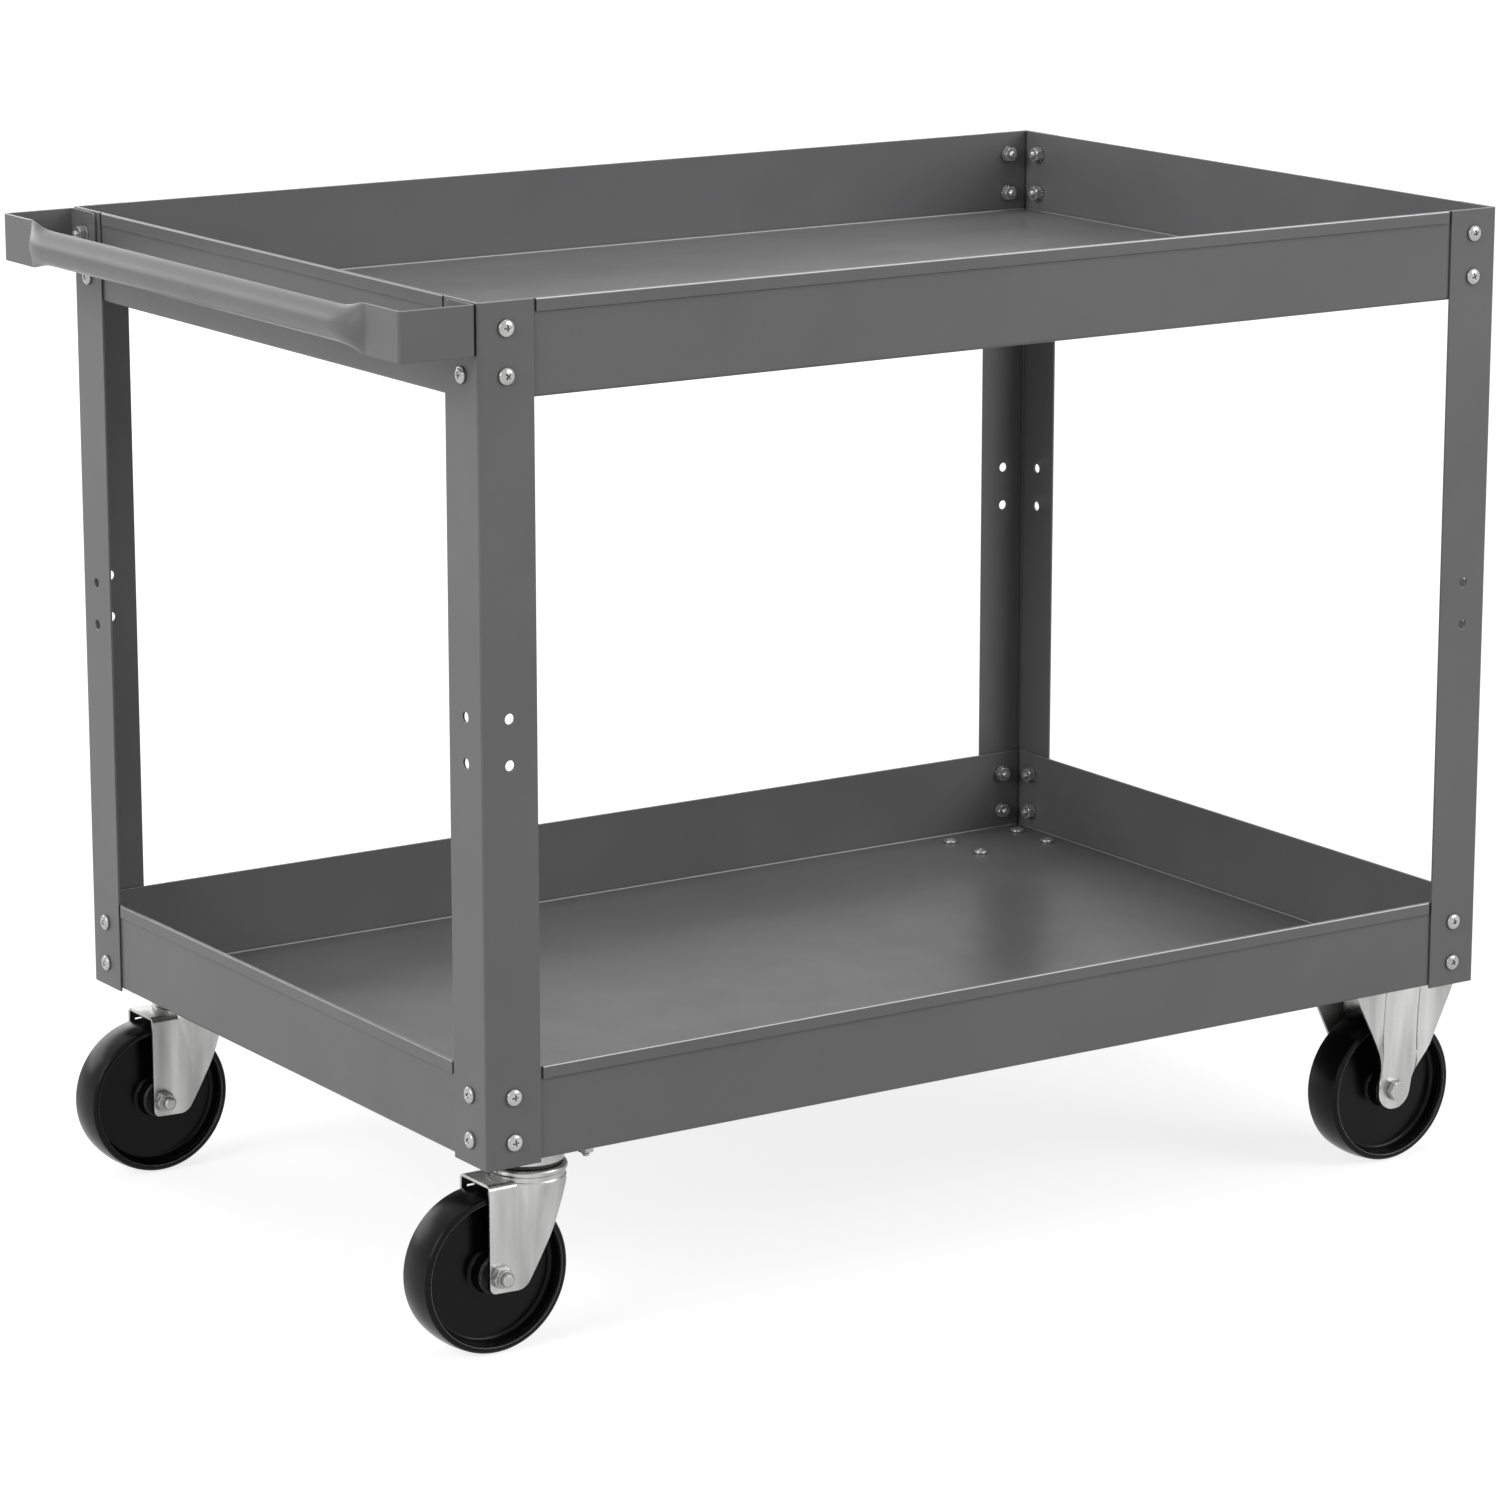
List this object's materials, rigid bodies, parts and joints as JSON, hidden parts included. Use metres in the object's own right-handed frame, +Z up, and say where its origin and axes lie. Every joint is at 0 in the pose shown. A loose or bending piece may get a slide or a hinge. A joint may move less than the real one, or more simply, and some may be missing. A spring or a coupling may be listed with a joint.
{
  "type": "stock cart",
  "caption": "Steel stock cart with an upper and a lower tray bolted inside corner angle posts, a bent strip push handle, and swivel and rigid casters.",
  "frame": {"origin": "middle of the bounding box in X and Y, on the floor under the wheels", "axes": "+X along the cart away from the handle, +Y to the left of someone pushing the cart, +Z up"},
  "size_m": [0.9936, 0.6196, 0.7708],
  "materials": {
    "grey_paint": "satin",
    "zinc_fastener": "bright zinc",
    "zinc_plate": "zinc plated",
    "steel": "machined",
    "wheel_plastic": "semi gloss",
    "seal_rubber": "matte"
  },
  "bodies": {
    "cart": {"upper_shelf": "grey_paint", "lower_shelf": "grey_paint", "post_handle_right": "grey_paint", "post_handle_left": "grey_paint", "post_front_right": "grey_paint", "post_front_left": "grey_paint", "handle": "grey_paint", "handle_bolts": "zinc_fastener", "handle_washers": "zinc_fastener", "handle_nuts": "zinc_fastener", "upper_shelf_bolts": "zinc_fastener", "upper_shelf_washers": "zinc_fastener", "upper_shelf_nuts": "zinc_fastener", "lower_shelf_bolts": "zinc_fastener", "lower_shelf_washers": "zinc_fastener", "lower_shelf_nuts": "zinc_fastener", "caster_bolts": "zinc_fastener", "caster_nuts": "zinc_fastener", "swivel_plate_right": "zinc_plate", "swivel_plate_left": "zinc_plate", "swivel_balls_right": "zinc_fastener", "swivel_balls_left": "zinc_fastener", "swivel_seal_right": "seal_rubber", "swivel_seal_left": "seal_rubber", "kingpin_right": "steel", "kingpin_left": "steel", "kingpin_washer_right": "zinc_fastener", "kingpin_washer_left": "zinc_fastener", "kingpin_nut_right": "zinc_fastener", "kingpin_nut_left": "zinc_fastener", "rigid_fork_right": "zinc_plate", "rigid_fork_left": "zinc_plate", "rigid_axle_right": "zinc_fastener", "rigid_axle_left": "zinc_fastener", "rigid_axle_nut_right": "zinc_fastener", "rigid_axle_nut_left": "zinc_fastener", "rigid_sleeve_right": "steel", "rigid_sleeve_left": "steel"},
    "right_fork": {"swivel_fork_right": "zinc_plate", "swivel_axle_right": "zinc_fastener", "swivel_axle_nut_right": "zinc_fastener", "swivel_sleeve_right": "steel"},
    "left_fork": {"swivel_fork_left": "zinc_plate", "swivel_axle_left": "zinc_fastener", "swivel_axle_nut_left": "zinc_fastener", "swivel_sleeve_left": "steel"},
    "right_swivel_wheel": {"swivel_wheel_right": "wheel_plastic"},
    "left_swivel_wheel": {"swivel_wheel_left": "wheel_plastic"},
    "right_rigid_wheel": {"rigid_wheel_right": "wheel_plastic"},
    "left_rigid_wheel": {"rigid_wheel_left": "wheel_plastic"}
  },
  "joints": [
    {"name": "right_caster_swivel", "type": "hinge", "parent": "cart", "child": "right_fork", "pos_m": [-0.36484, -0.2608, 0.14], "axis": [0, 0, 1], "continuous": true},
    {"name": "left_caster_swivel", "type": "hinge", "parent": "cart", "child": "left_fork", "pos_m": [-0.36484, 0.2608, 0.14], "axis": [0, 0, 1], "continuous": true},
    {"name": "right_swivel_wheel_spin", "type": "hinge", "parent": "right_fork", "child": "right_swivel_wheel", "pos_m": [-0.40054, -0.2608, 0.0607], "axis": [0, 1, 0], "continuous": true},
    {"name": "left_swivel_wheel_spin", "type": "hinge", "parent": "left_fork", "child": "left_swivel_wheel", "pos_m": [-0.40054, 0.2608, 0.0607], "axis": [0, 1, 0], "continuous": true},
    {"name": "right_rigid_wheel_spin", "type": "hinge", "parent": "cart", "child": "right_rigid_wheel", "pos_m": [0.43676, -0.2594, 0.0607], "axis": [0, 1, 0], "continuous": true},
    {"name": "left_rigid_wheel_spin", "type": "hinge", "parent": "cart", "child": "left_rigid_wheel", "pos_m": [0.43676, 0.2594, 0.0607], "axis": [0, 1, 0], "continuous": true}
  ]
}
